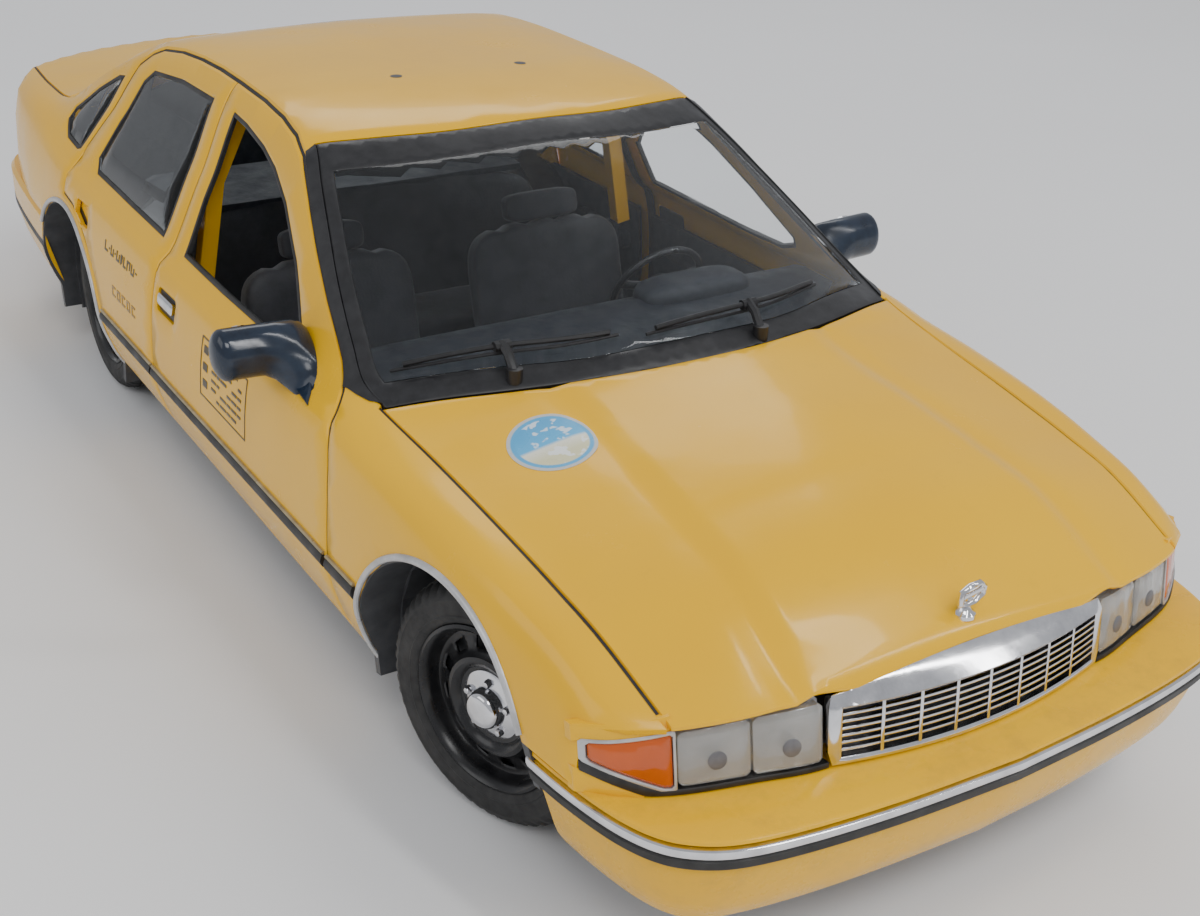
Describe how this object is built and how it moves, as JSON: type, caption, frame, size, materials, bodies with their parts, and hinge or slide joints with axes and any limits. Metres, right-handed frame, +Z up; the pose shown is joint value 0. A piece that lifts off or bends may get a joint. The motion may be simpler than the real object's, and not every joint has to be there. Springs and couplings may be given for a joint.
{
  "type": "diecast collector car",
  "caption": "Metal collector model of a full-size four-door cab with opening doors, hood and trunk lid, steerable front wheels and a fitted cabin.",
  "frame": {"origin": "centre of the bounding box's bottom face, under the middle of the car on the plane the tyres rest on", "axes": "-Y to the nose, +X to the driver's (left) side, +Z up"},
  "size_m": [0.1246, 0.2954, 0.0787],
  "materials": {
    "cab_yellow": "golden-yellow gloss enamel with soft orange peel and handling grime",
    "satin_black": "satin black plastic",
    "chrome": "vacuum-plated chrome, slightly dusty",
    "smoke_glass": "clear, faintly smoked plastic pane",
    "clear_lens": "frosted clear lens plastic",
    "amber_lens": "amber lens plastic",
    "red_lens": "red lens plastic",
    "mirror_navy": "gloss blue-black plastic, scuffed",
    "tyre": "matte black rubber with a serrated shoulder",
    "rim_black": "semi-gloss black wheel enamel",
    "cabin_grey": "dark blue-grey textured plastic",
    "chassis_black": "matte black moulded base",
    "engine_grey": "dull grey metal"
  },
  "bodies": {
    "car": {"body_shell": "cab_yellow", "chassis": "chassis_black", "dashboard": "cabin_grey", "engine": "engine_grey", "front_bumper": "cab_yellow", "front_trim": "chrome", "grille": "chrome", "header_panel": "satin_black", "headlight_left": "clear_lens", "headlight_right": "clear_lens", "interior_tub": "cabin_grey", "quarter_glass_left": "smoke_glass", "quarter_glass_right": "smoke_glass", "rear_bumper": "cab_yellow", "rear_window": "smoke_glass", "seat_front": "cabin_grey", "seat_rear": "cabin_grey", "signal_left": "amber_lens", "signal_right": "amber_lens", "steering_wheel": "satin_black", "tail_panel": "cab_yellow", "taillight_left": "red_lens", "taillight_right": "red_lens", "windshield": "smoke_glass", "windshield_surround": "satin_black", "wiper_left": "satin_black", "wiper_right": "satin_black"},
    "hood": {"hood": "cab_yellow", "hood_ornament": "chrome"},
    "trunk_lid": {"trunk_lid": "cab_yellow"},
    "front_door_left": {"card_front_left": "cabin_grey", "door_front_left": "cab_yellow", "handle_left": "satin_black", "mirror_left": "mirror_navy"},
    "rear_door_left": {"door_rear_left": "cab_yellow", "card_rear_left": "cabin_grey", "pane_rear_left": "smoke_glass"},
    "steering_left": {"knuckle_left": "chassis_black"},
    "front_wheel_left": {"tyre_front_left": "tyre", "rim_front_left": "rim_black", "cap_front_left": "chrome"},
    "front_door_right": {"card_front_right": "cabin_grey", "door_front_right": "cab_yellow", "handle_right": "satin_black", "mirror_right": "mirror_navy"},
    "rear_door_right": {"door_rear_right": "cab_yellow", "card_rear_right": "cabin_grey", "pane_rear_right": "smoke_glass"},
    "steering_right": {"knuckle_right": "chassis_black"},
    "front_wheel_right": {"tyre_front_right": "tyre", "rim_front_right": "rim_black", "cap_front_right": "chrome"},
    "rear_wheels": {"rear_axle": "engine_grey", "tyre_rear_left": "tyre", "rim_rear_left": "rim_black", "cap_rear_left": "chrome", "tyre_rear_right": "tyre", "rim_rear_right": "rim_black", "cap_rear_right": "chrome"}
  },
  "joints": [
    {"name": "hood_hinge", "type": "hinge", "parent": "car", "child": "hood", "pos_m": [0, -0.064, 0.051], "axis": [1, 0, 0], "range_deg": [-42, 0]},
    {"name": "trunk_hinge", "type": "hinge", "parent": "car", "child": "trunk_lid", "pos_m": [0, 0.098, 0.0576], "axis": [1, 0, 0], "range_deg": [0, 50]},
    {"name": "front_door_hinge_left", "type": "hinge", "parent": "car", "child": "front_door_left", "pos_m": [0.0544, -0.0629, 0.04], "axis": [0, 0, -1], "range_deg": [0, 62]},
    {"name": "rear_door_hinge_left", "type": "hinge", "parent": "car", "child": "rear_door_left", "pos_m": [0.0549, 0.0152, 0.04], "axis": [0, 0, -1], "range_deg": [0, 60]},
    {"name": "king_pin_left", "type": "hinge", "parent": "car", "child": "steering_left", "pos_m": [0.041, -0.094, 0.0183], "axis": [0, 0, 1], "range_deg": [-44, 8]},
    {"name": "front_spin_left", "type": "hinge", "parent": "steering_left", "child": "front_wheel_left", "pos_m": [0.041, -0.094, 0.0183], "axis": [0.9511, 0.309, 0], "continuous": true},
    {"name": "front_door_hinge_right", "type": "hinge", "parent": "car", "child": "front_door_right", "pos_m": [-0.0544, -0.0629, 0.04], "axis": [0, 0, 1], "range_deg": [0, 62]},
    {"name": "rear_door_hinge_right", "type": "hinge", "parent": "car", "child": "rear_door_right", "pos_m": [-0.0549, 0.0152, 0.04], "axis": [0, 0, 1], "range_deg": [0, 60]},
    {"name": "king_pin_right", "type": "hinge", "parent": "car", "child": "steering_right", "pos_m": [-0.041, -0.094, 0.0183], "axis": [0, 0, 1], "range_deg": [-44, 8]},
    {"name": "front_spin_right", "type": "hinge", "parent": "steering_right", "child": "front_wheel_right", "pos_m": [-0.041, -0.094, 0.0183], "axis": [0.9511, 0.309, 0], "continuous": true},
    {"name": "rear_spin", "type": "hinge", "parent": "car", "child": "rear_wheels", "pos_m": [0, 0.0696, 0.0183], "axis": [1, 0, 0], "continuous": true}
  ],
  "couplings": [
    {"joint": "king_pin_right", "follows": "king_pin_left", "ratio": 1}
  ]
}
